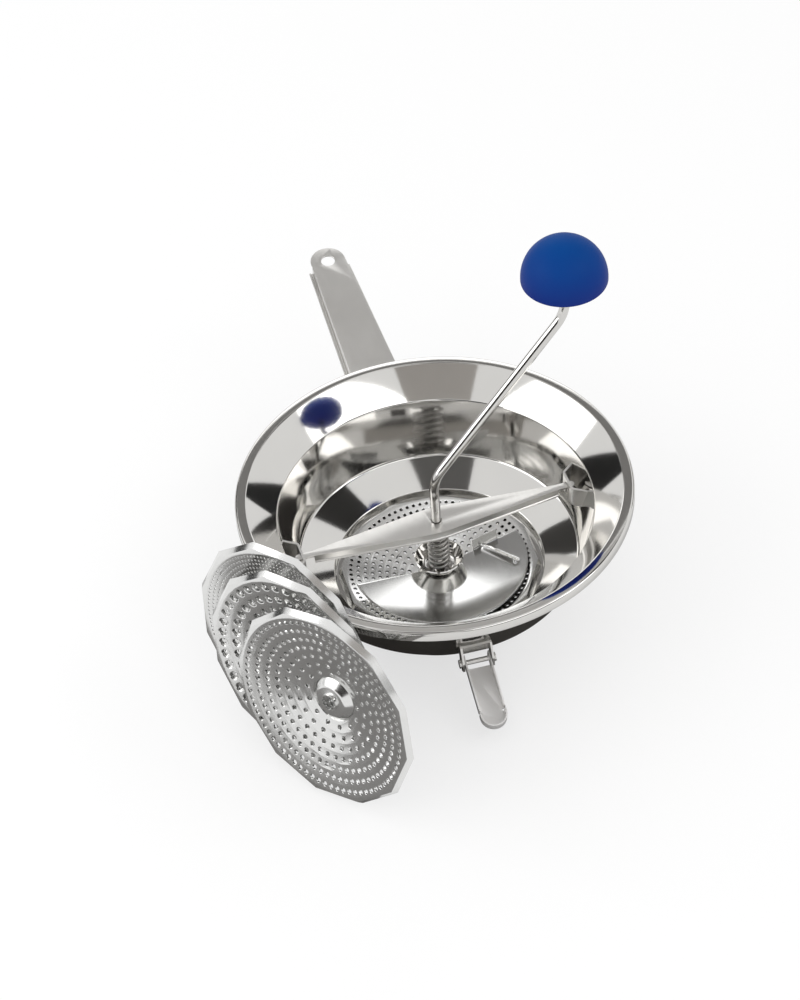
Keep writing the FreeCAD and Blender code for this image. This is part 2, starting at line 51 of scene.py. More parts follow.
# Bowl
SHEET = 1.0
RIM_R, RIM_Z = 120.0, 84.0
LIP, LAND = 6.0, 6.5
STEP_R, STEP_Z = 96.0, 67.5
WAIST_R, WAIST_Z = 86.0, 30.0
COLLAR_R, COLLAR_Z, LEDGE_Z = 64.5, 19.5, 12.5
SEAT_R, SEAT_BORE = 60.0, 55.0
BOWL_BENDS = (1.8, 1.6, 2.5, 3.0, 1.2, 0.8, 1.2, 0.8)
BOWL_STEPS = 180

# Handle
HANDLE_GAUGE = 1.2
HANDLE_ROOT_R = 100.0
HANDLE_LENGTH = 134.0
HANDLE_RISE = math.radians(9.0)
HANDLE_UNDER_LIP = 1.5
HANDLE_ROOT_HALF, HANDLE_TIP_HALF = 16.0, 11.5
HANDLE_SKIRT_ROOT, HANDLE_SKIRT_TIP = 9.0, 5.0
HANDLE_SKIRT_STOP = 120.0
HANDLE_START = 3.6
PANEL_START, PANEL_END = 28.0, 100.0
PANEL_MARGIN, PANEL_BEAD, PANEL_RAISE = 5.0, 1.4, 0.5
HANG_R, HANG_INSET = 4.5, 11.5
HEM_OUT = 1.0

# Crossbar
BAR_TOP, BAR_GAUGE = 56.0, 1.2
BAR_HALF, BAR_END_HALF, BAR_NOSE = 11.7, 2.3, 60.0
BAR_END_X, TONGUE_X = 78.0, 89.2
BAR_SKIRT = 4.2
BAR_BORE = 3.5

# Grating discs
DISC_GAUGE = 0.9
DISC_SIDES = 12
FOLD_R, EDGE_R, FLANGE_H, LOOSE_FLANGE_H = 61.0, 63.5, 6.0, 3.2
BURR = 0.9
CONE_R, CROWN_R, CONE_RISE = 58.0, 14.6, 11.0
FITTED_Z = LEDGE_Z + FLANGE_H
FITTED_TURN = math.radians(12.4)
LEAN_AZ, LEAN = math.radians(34.7), math.radians(10.0)
LEAN_BACK, LEAN_GAP = 130.0, 0.4

# Centre boss of each disc
BOSS_GAUGE, BOSS_R, BOSS_LIFT, BOSS_SHOULDER = 0.8, 17.5, 0.88, 13.8
DISH_DEPTH, DISH_R, EYELET_R, EYELET_DEPTH = 4.0, 9.5, 4.5, 2.5
BOSS_BENDS = (0.9, 1.2, 1.0)
CONE_SLOPE = CONE_RISE / (CONE_R - CROWN_R)
BOSS_H = DISC_GAUGE + (CONE_R - BOSS_SHOULDER) * CONE_SLOPE + BOSS_LIFT
LEAN_STEP = BOSS_H + LEAN_GAP

# Crank
CRANK_AZ = math.radians(10.0)
EYELET_Z = FITTED_Z - BOSS_H + DISH_DEPTH + EYELET_DEPTH
HUB_Z = EYELET_Z + 0.5
ROD_R, ROD_BEND = 3.0, 20.0
ROD_LOW, ROD_KNEE_Z, ROD_TOP = HUB_Z - 4.2, 89.0, 220.0
THROW, THROW_Z = 93.0, 178.0
ROD_SIDES = 32
BLADE_Z, BLADE_GAUGE, BLADE_RING_GAUGE = HUB_Z + 2.6, 1.0, 1.2
BLADE_BORE, BLADE_RING_R, BLADE_ROOT_R, BLADE_R = 4.7, 13.5, 8.0, 54.5
BLADE_TRAIL, BLADE_SWEEP = math.radians(10.0), math.radians(185.0)
BLADE_LOW, BLADE_LEAD_RISE, BLADE_CURVE = FITTED_Z + 0.6, 5.0, 1.3
TAB_IN_R, TAB_OUT_R, TAB_H = 24.0, 41.0, 7.0
RIB_IN_R, RIB_IN_AZ = 30.0, math.radians(7.0)
RIB_OUT_R, RIB_OUT_AZ = 46.5, math.radians(-20.8)
RIB_RISE, RIB_SPREAD = 1.6, 2.4
CUP_GAUGE, CUP_BORE, CUP_FLOOR_R, CUP_LIP_R, CUP_H, CUP_BEND = 0.8, 3.1, 9.5, 14.5, 8.2, 4.0
SPRING_LOW, SPRING_HIGH = BLADE_Z + BLADE_RING_GAUGE + CUP_GAUGE, 53.8
WIRE_R, COIL_R, COILS, PRESS = 0.9, 6.0, 9, 11.0

# Knob
KNOB_R, KNOB_BASE_R, KNOB_Z = 25.5, 9.0, 196.0
KNOB_UNDER, KNOB_WAIST = 7.5, 9.5
# Knob colours at the bottom and at the top: the change from one to the other is painted shade, darker below and
# lighter above.
KNOB_SHADED_BOTTOM, KNOB_LIT_TOP = (0.011, 0.018, 0.17), (0.0004, 0.052, 0.24)
KNOB_BENDS = (2.0, 1.2)
KNOB_BORE, KNOB_BORE_DEPTH = 3.05, 25.0

# Rest foot
FOOT_R, FOOT_Z, FOOT_TURN, FOOT_DROOP = 91.5, 26.0, math.radians(-4.0), math.radians(17.0)
FOOT_GAUGE, FOOT_HALF = 1.0, 8.0
FOOT_BACK, FOOT_OVER, FOOT_UNDER, FOOT_PLATE = 3.5, 3.0, 2.0, 4.0
FOOT_SLOT_Y, FOOT_TIP = 33.0, 36.5
FOOT_SLOT, FOOT_SLOT_DEEP = 1.6, 1.9
FOOT_BORE = 1.55


def polar(radius, angle, z=0.0):
    return Vector((radius * math.cos(angle), radius * math.sin(angle), z))


def rounded(corners, bends, steps=5):
    """Corner points of a line in a plane, with each inner corner turned on an arc."""
    line = [Vector(corners[0])]
    for before, corner, after, bend in zip(corners, corners[1:], corners[2:], bends):
        corner = Vector(corner)
        back = (Vector(before) - corner).normalized()
        ahead = (Vector(after) - corner).normalized()
        half = back.angle(ahead) / 2
        centre = corner + (back + ahead).normalized() * (bend / math.sin(half))
        first = corner + back * (bend / math.tan(half)) - centre
        last = corner + ahead * (bend / math.tan(half)) - centre
        sweep = first.angle_signed(last)
        line += [centre + Matrix.Rotation(-sweep * k / steps, 2) @ first for k in range(steps + 1)]
    return line + [Vector(corners[-1])]


def banded(line, gauge):
    """Closed outline of a sheet that lies to the left of a line."""
    far = []
    for index, point in enumerate(line):
        sides = [line[j + 1] - line[j] for j in (index - 1, index) if 0 <= j < len(line) - 1]
        normals = [Vector((-s.y, s.x)).normalized() for s in sides]
        mitre = sum(normals, Vector((0.0, 0.0)))
        mitre.normalize()
        far.append(point + mitre * (gauge / mitre.dot(normals[0])))
    return list(line) + far[::-1]


def clear():
    if bpy.context.object and bpy.context.object.mode != "OBJECT":
        bpy.ops.object.mode_set(mode="OBJECT")
    bpy.ops.object.select_all(action="DESELECT")


def opened(name):
    """Name the primitive just added and open it in edit mode."""
    piece = bpy.context.object
    piece.name = name
    piece.data.name = name
    bpy.ops.object.mode_set(mode="EDIT")
    bpy.ops.mesh.select_mode(type="VERT")
    bpy.ops.mesh.select_all(action="SELECT")
    return piece


def closed():
    bpy.ops.object.mode_set(mode="OBJECT")


def pick(piece, kind, test):
    """Select only the vertices, edges or faces that pass a test."""
    bpy.ops.mesh.select_mode(type=kind)
    bpy.ops.mesh.select_all(action="DESELECT")
    mesh = bmesh.from_edit_mesh(piece.data)
    for item in {"VERT": mesh.verts, "EDGE": mesh.edges, "FACE": mesh.faces}[kind]:
        if test(item):
            item.select_set(True)
    mesh.select_flush_mode()
    bmesh.update_edit_mesh(piece.data)


def drawn(name, points, loop=False):
    """A line of edges, drawn by pulling one vertex from point to point."""
    clear()
    bpy.ops.mesh.primitive_plane_add(size=1.0)
    piece = opened(name)
    bpy.ops.mesh.merge(type="CENTER")
    bpy.ops.transform.translate(value=points[0])
    for before, after in zip(points, points[1:]):
        bpy.ops.mesh.extrude_region_move(TRANSFORM_OT_translate={"value": Vector(after) - Vector(before)})
    if loop:
        ends = [Vector(points[0]), Vector(points[-1])]
        pick(piece, "VERT", lambda v: min((v.co - end).length for end in ends) < 1e-4)
        bpy.ops.mesh.edge_face_add()
    return piece


def tidy_faces():
    """Weld doubled corners and turn every face outwards."""
    bpy.ops.mesh.select_all(action="SELECT")
    bpy.ops.mesh.remove_doubles(threshold=0.002)
    bpy.ops.mesh.normals_make_consistent(inside=False)


def turned(name, outline, steps, loop):
    """A (radius, height) outline spun about the Z axis."""
    piece = drawn(name, [Vector((r, 0, z)) for r, z in outline], loop)
    bpy.ops.mesh.select_all(action="SELECT")
    bpy.ops.mesh.spin(steps=steps, angle=TURN, center=(0, 0, 0), axis=(0, 0, 1))
    tidy_faces()
    closed()
    return piece


def facing(piece, direction):
    """Turn an open sheet so that its faces look along a direction on the whole."""
    bpy.ops.mesh.select_all(action="SELECT")
    bpy.ops.mesh.normals_make_consistent(inside=False)
    mesh = bmesh.from_edit_mesh(piece.data)
    mesh.normal_update()
    if sum(face.normal.dot(direction) * face.calc_area() for face in mesh.faces) < 0:
        bpy.ops.mesh.flip_normals()


def apply(piece, kind, **settings):
    """Add one modifier with its settings and apply it."""
    clear()
    piece.select_set(True)
    bpy.context.view_layer.objects.active = piece
    modifier = piece.modifiers.new(kind.title(), kind)
    for key, value in settings.items():
        setattr(modifier, key, value)
    bpy.ops.object.modifier_apply(modifier=modifier.name)


def soften(piece, width, segments=2, degrees=40.0):
    apply(piece, "BEVEL", width=width, segments=segments, limit_method="ANGLE",
          angle_limit=math.radians(degrees), harden_normals=False)


def punch(piece, tool):
    """Cut a tool's shape out of a piece."""
    apply(piece, "BOOLEAN", operation="DIFFERENCE", object=tool, solver="EXACT")
    bpy.data.objects.remove(tool)


def drill(piece, radius, length, centre, angles=(0.0, 0.0, 0.0), sides=40):
    clear()
    bpy.ops.mesh.primitive_cylinder_add(vertices=sides, radius=radius, depth=length, location=centre, rotation=angles)
    punch(piece, bpy.context.object)


def place(piece, body, material, nodes, where=None, smooth=35.0):
    """Bring a finished piece to metres and to its place, and hang it on its body."""
    clear()
    piece.select_set(True)
    bpy.context.view_layer.objects.active = piece
    piece.matrix_world = Matrix.Scale(METRE, 4) @ (where or Matrix())
    bpy.ops.object.transform_apply(location=True, rotation=True, scale=True)
    bpy.ops.object.shade_smooth_by_angle(angle=math.radians(smooth))
    piece.data.materials.clear()
    piece.data.materials.append(material)
    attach(piece, body)
    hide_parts(*nodes)
    return piece


def shader(name):
    """A new material with its node tree and its main shader."""
    material = bpy.data.materials.new(name)
    material.use_nodes = True
    return material, material.node_tree, material.node_tree.nodes["Principled BSDF"]


def noise(tree, scale, detail, stretch=(1.0, 1.0, 1.0)):
    """Noise on the piece's own coordinates, in repeats per metre."""
    coords = tree.nodes.new("ShaderNodeTexCoord")
    mapping = tree.nodes.new("ShaderNodeMapping")
    mapping.inputs["Scale"].default_value = stretch
    texture = tree.nodes.new("ShaderNodeTexNoise")
    texture.inputs["Scale"].default_value = scale
    texture.inputs["Detail"].default_value = detail
    tree.links.new(coords.outputs["Object"], mapping.inputs["Vector"])
    tree.links.new(mapping.outputs["Vector"], texture.inputs["Vector"])
    return texture.outputs["Fac"]


def spread(tree, value, low, high):
    """Map a 0 to 1 pattern onto a range."""
    node = tree.nodes.new("ShaderNodeMapRange")
    node.inputs["To Min"].default_value = low
    node.inputs["To Max"].default_value = high
    tree.links.new(value, node.inputs["Value"])
    return node.outputs["Result"]


def tint(tree, value, low, high):
    """Blend two colours by a 0 to 1 pattern."""
    ramp = tree.nodes.new("ShaderNodeValToRGB")
    ramp.color_ramp.elements[0].color = (*low, 1.0)
    ramp.color_ramp.elements[1].color = (*high, 1.0)
    tree.links.new(value, ramp.inputs["Fac"])
    return ramp.outputs["Color"]


def raised(tree, principled, value, strength, distance):
    bump = tree.nodes.new("ShaderNodeBump")
    bump.inputs["Strength"].default_value = strength
    bump.inputs["Distance"].default_value = distance
    tree.links.new(value, bump.inputs["Height"])
    tree.links.new(bump.outputs["Normal"], principled.inputs["Normal"])


def metal(name, dark, light, rough, grain, stretch, bump):
    material, tree, principled = shader(name)
    principled.inputs["Metallic"].default_value = 1.0
    cloud = noise(tree, 22.0, 3.0)
    fine = noise(tree, grain, 4.0, stretch)
    tree.links.new(tint(tree, cloud, dark, light), principled.inputs["Base Color"])
    tree.links.new(spread(tree, fine, *rough), principled.inputs["Roughness"])
    raised(tree, principled, fine, bump, 0.0002)
    return material


def knob_plastic():
    material, tree, principled = shader("satin blue moulding")
    pores = noise(tree, 2600.0, 3.0)
    # Painted shade: the blue goes from the darker bottom colour to the lighter top colour with height, and a little
    # noise adds random tone.
    coords = tree.nodes.new("ShaderNodeTexCoord")
    axes = tree.nodes.new("ShaderNodeSeparateXYZ")
    tree.links.new(coords.outputs["Object"], axes.inputs["Vector"])
    height = tree.nodes.new("ShaderNodeMapRange")
    height.inputs["From Min"].default_value = KNOB_Z / 1000
    height.inputs["From Max"].default_value = (KNOB_Z + KNOB_WAIST + KNOB_R) / 1000
    tree.links.new(axes.outputs["Z"], height.inputs["Value"])
    painted_shade_and_tone = tree.nodes.new("ShaderNodeMath")
    painted_shade_and_tone.operation = "ADD"
    tree.links.new(height.outputs["Result"], painted_shade_and_tone.inputs[0])
    tree.links.new(spread(tree, noise(tree, 60.0, 2.0), -0.12, 0.12), painted_shade_and_tone.inputs[1])
    tree.links.new(tint(tree, painted_shade_and_tone.outputs["Value"], KNOB_SHADED_BOTTOM, KNOB_LIT_TOP), principled.inputs["Base Color"])
    tree.links.new(spread(tree, pores, 0.42, 0.54), principled.inputs["Roughness"])
    principled.inputs["Specular IOR Level"].default_value = 0.06
    raised(tree, principled, pores, 0.06, 0.0002)
    return material


POLISHED = metal("polished stainless", (0.60, 0.59, 0.57), (0.67, 0.66, 0.64), (0.04, 0.09), 900.0, (1, 1, 1), 0.015)
SATIN = metal("satin stainless", (0.60, 0.59, 0.57), (0.70, 0.69, 0.67), (0.24, 0.40), 700.0, (1.0, 0.08, 1.0), 0.06)
TINNED = metal("bright tinned steel", (0.68, 0.68, 0.67), (0.80, 0.80, 0.79), (0.13, 0.20), 800.0, (1, 1, 1), 0.012)
# Painted light: a copy of the satin stainless for the rest foot, its colour made brighter to stand in for light
# falling on the foot.
SATIN_LIT_FOOT = metal("satin stainless painted lighter", (0.89, 0.88, 0.87), (0.95, 0.94, 0.93), (0.48, 0.62), 700.0, (1.0, 0.08, 1.0), 0.05)
ROLLED = metal("bright rolled stainless", (0.62, 0.62, 0.61), (0.70, 0.70, 0.69), (0.11, 0.19), 700.0, (1.0, 0.1, 1.0), 0.02)
WIRE = metal("drawn spring wire", (0.42, 0.41, 0.39), (0.55, 0.54, 0.52), (0.22, 0.36), 900.0, (1, 1, 1), 0.05)
BLUE = knob_plastic()


def bowl():
    line = rounded([(RIM_R, RIM_Z - LIP), (RIM_R, RIM_Z), (RIM_R - LAND, RIM_Z), (STEP_R, STEP_Z),
                    (WAIST_R, WAIST_Z), (COLLAR_R, COLLAR_Z), (COLLAR_R, LEDGE_Z), (SEAT_R, LEDGE_Z),
                    (SEAT_R, SHEET), (SEAT_BORE, SHEET)], BOWL_BENDS)
    piece = turned("bowl_shell", banded(line, SHEET), BOWL_STEPS, True)
    place(piece, "bowl", POLISHED, ["bowl"])


def handle_half(y):
    return HANDLE_ROOT_HALF + (HANDLE_TIP_HALF - HANDLE_ROOT_HALF) * y / (HANDLE_LENGTH - HANDLE_TIP_HALF)


def handle_place():
    climb = (RIM_R - HANDLE_ROOT_R) * math.tan(HANDLE_RISE)
    root = Vector((0, HANDLE_ROOT_R, RIM_Z - LIP - HANDLE_UNDER_LIP - climb))
    return Matrix.Translation(root) @ Matrix.Rotation(HANDLE_RISE, 4, "X")


def handle():
    stops = [HANDLE_START, PANEL_START, PANEL_END, HANDLE_SKIRT_STOP]
    side = [Vector((handle_half(y), y, 0)) for y in stops]
    centre = HANDLE_LENGTH - HANDLE_TIP_HALF
    arc = [polar(HANDLE_TIP_HALF, math.pi * k / 24) + Vector((0, centre, 0)) for k in range(25)]
    mirror = [Vector((-p.x, p.y, 0)) for p in reversed(side)]
    piece = drawn("handle_channel", side + arc + mirror, True)
    bpy.ops.mesh.select_all(action="SELECT")
    bpy.ops.mesh.edge_face_add()
    for y in stops[1:]:
        bpy.ops.mesh.select_all(action="SELECT")
        bpy.ops.mesh.bisect(plane_co=(0, y, 0), plane_no=(0, 1, 0))
    pick(piece, "FACE", lambda f: PANEL_START < f.calc_center_median().y < PANEL_END)
    bpy.ops.mesh.inset(thickness=PANEL_MARGIN)
    bpy.ops.mesh.inset(thickness=PANEL_BEAD * 0.4)
    pick(piece, "FACE", lambda f: PANEL_START + PANEL_MARGIN < f.calc_center_median().y < PANEL_END - PANEL_MARGIN
         and f.calc_area() > 300.0)
    bpy.ops.transform.translate(value=(0, 0, PANEL_RAISE))
    skirt = (HANDLE_SKIRT_ROOT + HANDLE_SKIRT_TIP) / 2

    def flank(edge):
        ends = [v.co for v in edge.verts]
        return edge.is_boundary and all(v.y < HANDLE_SKIRT_STOP + 0.01 for v in ends) and abs(
            ends[0].y - ends[1].y) > 1.0
    pick(piece, "EDGE", flank)
    bpy.ops.mesh.extrude_region_move(TRANSFORM_OT_translate={"value": (0, 0, -skirt)})
    mesh = bmesh.from_edit_mesh(piece.data)
    for v in mesh.verts:
        if v.co.z < -1.0:
            v.co.z = -(HANDLE_SKIRT_ROOT + (HANDLE_SKIRT_TIP - HANDLE_SKIRT_ROOT) * v.co.y / HANDLE_LENGTH)
    bmesh.update_edit_mesh(piece.data)
    for out, down in ((0.55, -0.45), (0.55, 0.25), (0.0, 0.55)):
        bpy.ops.mesh.extrude_region_move()
        mesh = bmesh.from_edit_mesh(piece.data)
        for v in mesh.verts:
            if v.select:
                v.co += Vector((math.copysign(out, v.co.x), 0, down))
        bmesh.update_edit_mesh(piece.data)
    facing(piece, Vector((0, 0, 1)))
    closed()
    apply(piece, "SOLIDIFY", thickness=HANDLE_GAUGE, offset=-1.0, use_even_offset=True)
    drill(piece, HANG_R, 20.0, (0, HANDLE_LENGTH - HANG_INSET, 0))
    soften(piece, 0.45, 3, 25.0)
    place(piece, "bowl", SATIN, ["handle"], handle_place())


def crossbar():
    reach = TONGUE_X - BAR_END_HALF
    edge = rounded([(-BAR_END_X, -BAR_END_HALF), (0.0, -BAR_HALF), (BAR_END_X, -BAR_END_HALF)], (BAR_NOSE,), 8)
    near = [Vector((x, y, BAR_TOP)) for x, y in edge]
    tip = [polar(BAR_END_HALF, math.pi * (k / 12 - 0.5), BAR_TOP) + Vector((reach, 0, 0)) for k in range(13)]
    half = near + tip
    other = [Vector((-p.x, -p.y, p.z)) for p in half]
    piece = drawn("crossbar_channel", half + other, True)
    bpy.ops.mesh.select_all(action="SELECT")
    bpy.ops.mesh.edge_face_add()
    for x in (-BAR_END_X, BAR_END_X):
        bpy.ops.mesh.select_all(action="SELECT")
        bpy.ops.mesh.bisect(plane_co=(x, 0, 0), plane_no=(1, 0, 0))

    def flank(edge):
        return edge.is_boundary and all(abs(v.co.x) < BAR_END_X + 0.01 for v in edge.verts) and abs(
            edge.verts[0].co.x - edge.verts[1].co.x) > 1.0
    pick(piece, "EDGE", flank)
    bpy.ops.mesh.extrude_region_move(TRANSFORM_OT_translate={"value": (0, 0, -BAR_SKIRT)})
    for out, down in ((0.4, -0.2), (0.3, -0.4), (-0.1, -0.4)):
        bpy.ops.mesh.extrude_region_move()
        mesh = bmesh.from_edit_mesh(piece.data)
        for v in mesh.verts:
            if v.select:
                v.co += Vector((0, math.copysign(out, v.co.y), down))
        bmesh.update_edit_mesh(piece.data)
    facing(piece, Vector((0, 0, 1)))
    closed()
    apply(piece, "SOLIDIFY", thickness=BAR_GAUGE, offset=-1.0, use_even_offset=True)
    drill(piece, BAR_BORE, 20.0, (0, 0, BAR_TOP))
    soften(piece, 0.5, 3, 30.0)
    place(piece, "bar", SATIN, ["crossbar"])


def crank_rod():
    clear()
    bpy.ops.mesh.primitive_circle_add(vertices=ROD_SIDES, radius=ROD_R, location=(0, 0, ROD_LOW))
    piece = bpy.context.object
    bpy.ops.object.transform_apply(location=True)
    opened("crank_bent_rod")
    slope = math.atan2(THROW, THROW_Z - ROD_KNEE_Z)
    reach = ROD_BEND * math.tan(slope / 2)
    along = Vector((math.sin(slope), 0, math.cos(slope)))
    run = math.hypot(THROW, THROW_Z - ROD_KNEE_Z) - 2 * reach
    bpy.ops.mesh.extrude_region_move(TRANSFORM_OT_translate={"value": (0, 0, ROD_KNEE_Z - reach - ROD_LOW)})
    bpy.ops.mesh.spin(steps=12, angle=slope, center=(ROD_BEND, 0, ROD_KNEE_Z - reach), axis=(0, -1, 0))
    bpy.ops.mesh.extrude_region_move(TRANSFORM_OT_translate={"value": along * run})
    side = Vector((-math.cos(slope), 0, math.sin(slope)))
    start = Vector((THROW, 0, THROW_Z)) - along * reach
    bpy.ops.mesh.spin(steps=12, angle=-slope, center=start + side * ROD_BEND, axis=(0, -1, 0))
    bpy.ops.mesh.extrude_region_move(TRANSFORM_OT_translate={"value": (0, 0, ROD_TOP - THROW_Z - reach)})
    pick(piece, "EDGE", lambda e: e.is_boundary)
    bpy.ops.mesh.edge_face_add()
    tidy_faces()
    closed()
    soften(piece, 0.5, 2, 60.0)
    place(piece, "crank", POLISHED, ["crank_rod"], Matrix.Rotation(CRANK_AZ, 4, "Z"), 50.0)


def knob():
    bore = [(0.0, KNOB_BORE_DEPTH), (KNOB_BORE, KNOB_BORE_DEPTH), (KNOB_BORE, 0.8)]
    under = rounded([(KNOB_BORE + 0.8, 0.0), (KNOB_BASE_R, 0.0), (KNOB_R, KNOB_UNDER), (KNOB_R, KNOB_WAIST)],
                    KNOB_BENDS)
    dome = [(KNOB_R * math.cos(TURN / 4 * k / 24), KNOB_WAIST + KNOB_R * math.sin(TURN / 4 * k / 24))
            for k in range(1, 25)]
    piece = turned("knob_grip", bore + under + dome, 96, False)
    centre = polar(THROW, CRANK_AZ, KNOB_Z)
    place(piece, "knob", BLUE, ["knob"], Matrix.Translation(centre))


def spring():
    clear()
    bpy.ops.mesh.primitive_circle_add(vertices=12, radius=WIRE_R, location=(COIL_R, 0, SPRING_LOW + WIRE_R),
                                      rotation=(math.pi / 2, 0, 0))
    piece = bpy.context.object
    piece.name = "spring_coil"
    bpy.ops.object.transform_apply(location=True, rotation=True)
    pitch = (SPRING_HIGH - SPRING_LOW - 2 * WIRE_R) / COILS
    apply(piece, "SCREW", angle=TURN, screw_offset=pitch, iterations=COILS, steps=32, render_steps=32, axis="Z")
    bpy.ops.object.mode_set(mode="EDIT")
    pick(piece, "EDGE", lambda e: e.is_boundary)
    bpy.ops.mesh.edge_face_add()
    tidy_faces()
    closed()
    place(piece, "crank", WIRE, ["spring"], None, 50.0)
    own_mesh(piece)


def spring_cup():
    line = rounded([(CUP_LIP_R, SPRING_LOW + CUP_H), (CUP_FLOOR_R, SPRING_LOW), (CUP_BORE, SPRING_LOW)], (CUP_BEND,))
    piece = turned("spring_cup_dish", banded(line, CUP_GAUGE), 72, True)
    place(piece, "crank", POLISHED, ["spring_cup"])


def blade_height(radius, share):
    root = BLADE_Z + 0.1
    rim = BLADE_LOW + BLADE_LEAD_RISE * share ** BLADE_CURVE
    slope = max(0.0, radius - BLADE_ROOT_R) / (BLADE_R - BLADE_ROOT_R)
    return root + (rim - root) * slope


def blade_rib(spot):
    """Height of the pressed rib at a spot on the blade."""
    start = polar(RIB_IN_R, RIB_IN_AZ)
    run = polar(RIB_OUT_R, RIB_OUT_AZ) - start
    share = min(1.0, max(0.0, (spot - start).dot(run) / run.length_squared))
    return RIB_RISE * math.exp(-(spot - start - run * share).length_squared / RIB_SPREAD)


def blade():
    clear()
    bpy.ops.mesh.primitive_grid_add(x_subdivisions=120, y_subdivisions=60, size=1.0)
    piece = opened("blade_half_moon")
    mesh = bmesh.from_edit_mesh(piece.data)
    for v in mesh.verts:
        share = v.co.x + 0.5
        radius = BLADE_BORE + (BLADE_R - BLADE_BORE) * (v.co.y + 0.5)
        angle = BLADE_TRAIL - BLADE_SWEEP * share
        rib = blade_rib(polar(radius, angle))
        v.co = polar(radius, angle, blade_height(radius, share) + BLADE_GAUGE + rib)
    bmesh.update_edit_mesh(piece.data)
    trail = polar(1.0, BLADE_TRAIL + TURN / 4)

    def lip(edge):
        middle = (edge.verts[0].co + edge.verts[1].co) / 2
        radius = math.hypot(middle.x, middle.y)
        return edge.is_boundary and abs(middle.dot(trail)) < 0.05 and TAB_IN_R < radius < TAB_OUT_R and middle.x > 0
    pick(piece, "EDGE", lip)
    for step in (0.25, 0.25, 0.5):
        rise = Vector((0, 0, TAB_H * step)) + trail * (0.6 * (1 - step) * 1.2)
        bpy.ops.mesh.extrude_region_move(TRANSFORM_OT_translate={"value": rise})
    facing(piece, Vector((0, 0, 1)))
    closed()
    apply(piece, "SOLIDIFY", thickness=BLADE_GAUGE, offset=-1.0, use_even_offset=True)
    soften(piece, 0.25, 2, 50.0)
    ring = turned("blade_ring", [(BLADE_BORE, BLADE_Z), (BLADE_RING_R, BLADE_Z),
                                 (BLADE_RING_R, BLADE_Z + BLADE_RING_GAUGE), (BLADE_BORE, BLADE_Z + BLADE_RING_GAUGE)],
                  72, True)
    apply(piece, "BOOLEAN", operation="UNION", object=ring, solver="EXACT")
    bpy.data.objects.remove(ring)
    place(piece, "crank", ROLLED, ["blade"])


def ring_edge(radius):
    """Test for the edges of the loop at a radius."""
    return lambda e: all(abs(math.hypot(v.co.x, v.co.y) - radius) < 0.02 for v in e.verts)


def grating(name, rings, crater, hole, sides, flange):
    """A flat grating drawn ring by ring, then raised to its cone, folded at the edge and thickened."""
    clear()
    pitch = rings[0][0] - rings[1][0]
    band = pitch * 0.46
    bpy.ops.mesh.primitive_circle_add(vertices=DISC_SIDES, radius=FOLD_R)
    piece = opened(name)
    bpy.ops.mesh.extrude_region_move(TRANSFORM_OT_translate={"value": (0, 0, flange)})
    bpy.ops.transform.resize(value=(EDGE_R / FOLD_R, EDGE_R / FOLD_R, 1.0), center_override=(0, 0, flange))
    for index, (radius, count) in enumerate(rings):
        bpy.ops.mesh.select_all(action="DESELECT")
        bpy.ops.mesh.primitive_circle_add(vertices=count, radius=radius - band,
                                          rotation=(0, 0, math.pi * (index % 2) / count))
        for here, there in ((radius - band, radius), (radius, radius + band)):
            bpy.ops.mesh.extrude_region_move()
            bpy.ops.transform.resize(value=(there / here, there / here, 1.0), center_override=(0, 0, 0))
    radii = [radius for radius, count in rings]
    pick(piece, "VERT", lambda v: v.co.z < 0.01 and min(abs(math.hypot(v.co.x, v.co.y) - r) for r in radii) < 0.02)
    bpy.ops.mesh.bevel(offset=crater, segments=sides // 4, profile=0.0858, affect="VERTICES", clamp_overlap=True)
    bpy.ops.mesh.select_mode(type="FACE")
    bpy.ops.mesh.dissolve_faces()
    bpy.ops.mesh.select_mode(type="VERT")
    bpy.ops.mesh.select_all(action="DESELECT")
    bpy.ops.mesh.primitive_circle_add(vertices=rings[0][1], radius=CONE_R)
    bpy.ops.mesh.select_all(action="DESELECT")
    bpy.ops.mesh.primitive_circle_add(vertices=72, radius=CROWN_R)
    borders = [(FOLD_R, CONE_R), (CONE_R, radii[0] + band)]
    borders += [(outer - band, inner + band) for outer, inner in zip(radii, radii[1:])]
    borders += [(radii[-1] - band, CROWN_R)]
    for outer, inner in borders:
        first, second = ring_edge(outer), ring_edge(inner)
        pick(piece, "EDGE", lambda e: max(v.co.z for v in e.verts) < 0.01 and (first(e) or second(e)))
        bpy.ops.mesh.bridge_edge_loops()
    mesh = bmesh.from_edit_mesh(piece.data)
    for v in mesh.verts:
        radius = math.hypot(v.co.x, v.co.y)
        if radius < CONE_R:
            v.co.z += (CONE_R - radius) * CONE_SLOPE
    bmesh.update_edit_mesh(piece.data)
    facing(piece, Vector((0, 0, -1)))
    pick(piece, "FACE", lambda f: len(f.verts) == sides and f.calc_area() < 3.3 * crater ** 2)
    step = (crater - hole) / 2
    bpy.ops.mesh.inset(thickness=step, depth=-step * 0.6, use_individual=True)
    bpy.ops.mesh.inset(thickness=step, depth=-hole * BURR, use_individual=True)
    bpy.ops.mesh.delete(type="FACE")
    closed()
    apply(piece, "SOLIDIFY", thickness=DISC_GAUGE, offset=-1.0, use_even_offset=False)
    return piece


def boss():
    edge = DISC_GAUGE + (CONE_R - BOSS_R) * CONE_SLOPE + BOSS_LIFT
    floor = BOSS_H - DISH_DEPTH
    line = rounded([(BOSS_R, edge), (BOSS_SHOULDER, BOSS_H), (DISH_R, floor), (EYELET_R, floor),
                    (EYELET_R, floor - EYELET_DEPTH)], BOSS_BENDS)
    return turned("boss", banded(line, BOSS_GAUGE), 64, True)


def hole_rings(outer, inner, count, gap, inner_gap):
    """Rings of holes from the rim to the crown; the gap between holes widens inwards."""
    rings = []
    for k in range(count):
        share = k / (count - 1)
        radius = outer + (inner - outer) * share
        rings.append((radius, round(TURN * radius / (gap + (inner_gap - gap) * share ** 2))))
    return rings


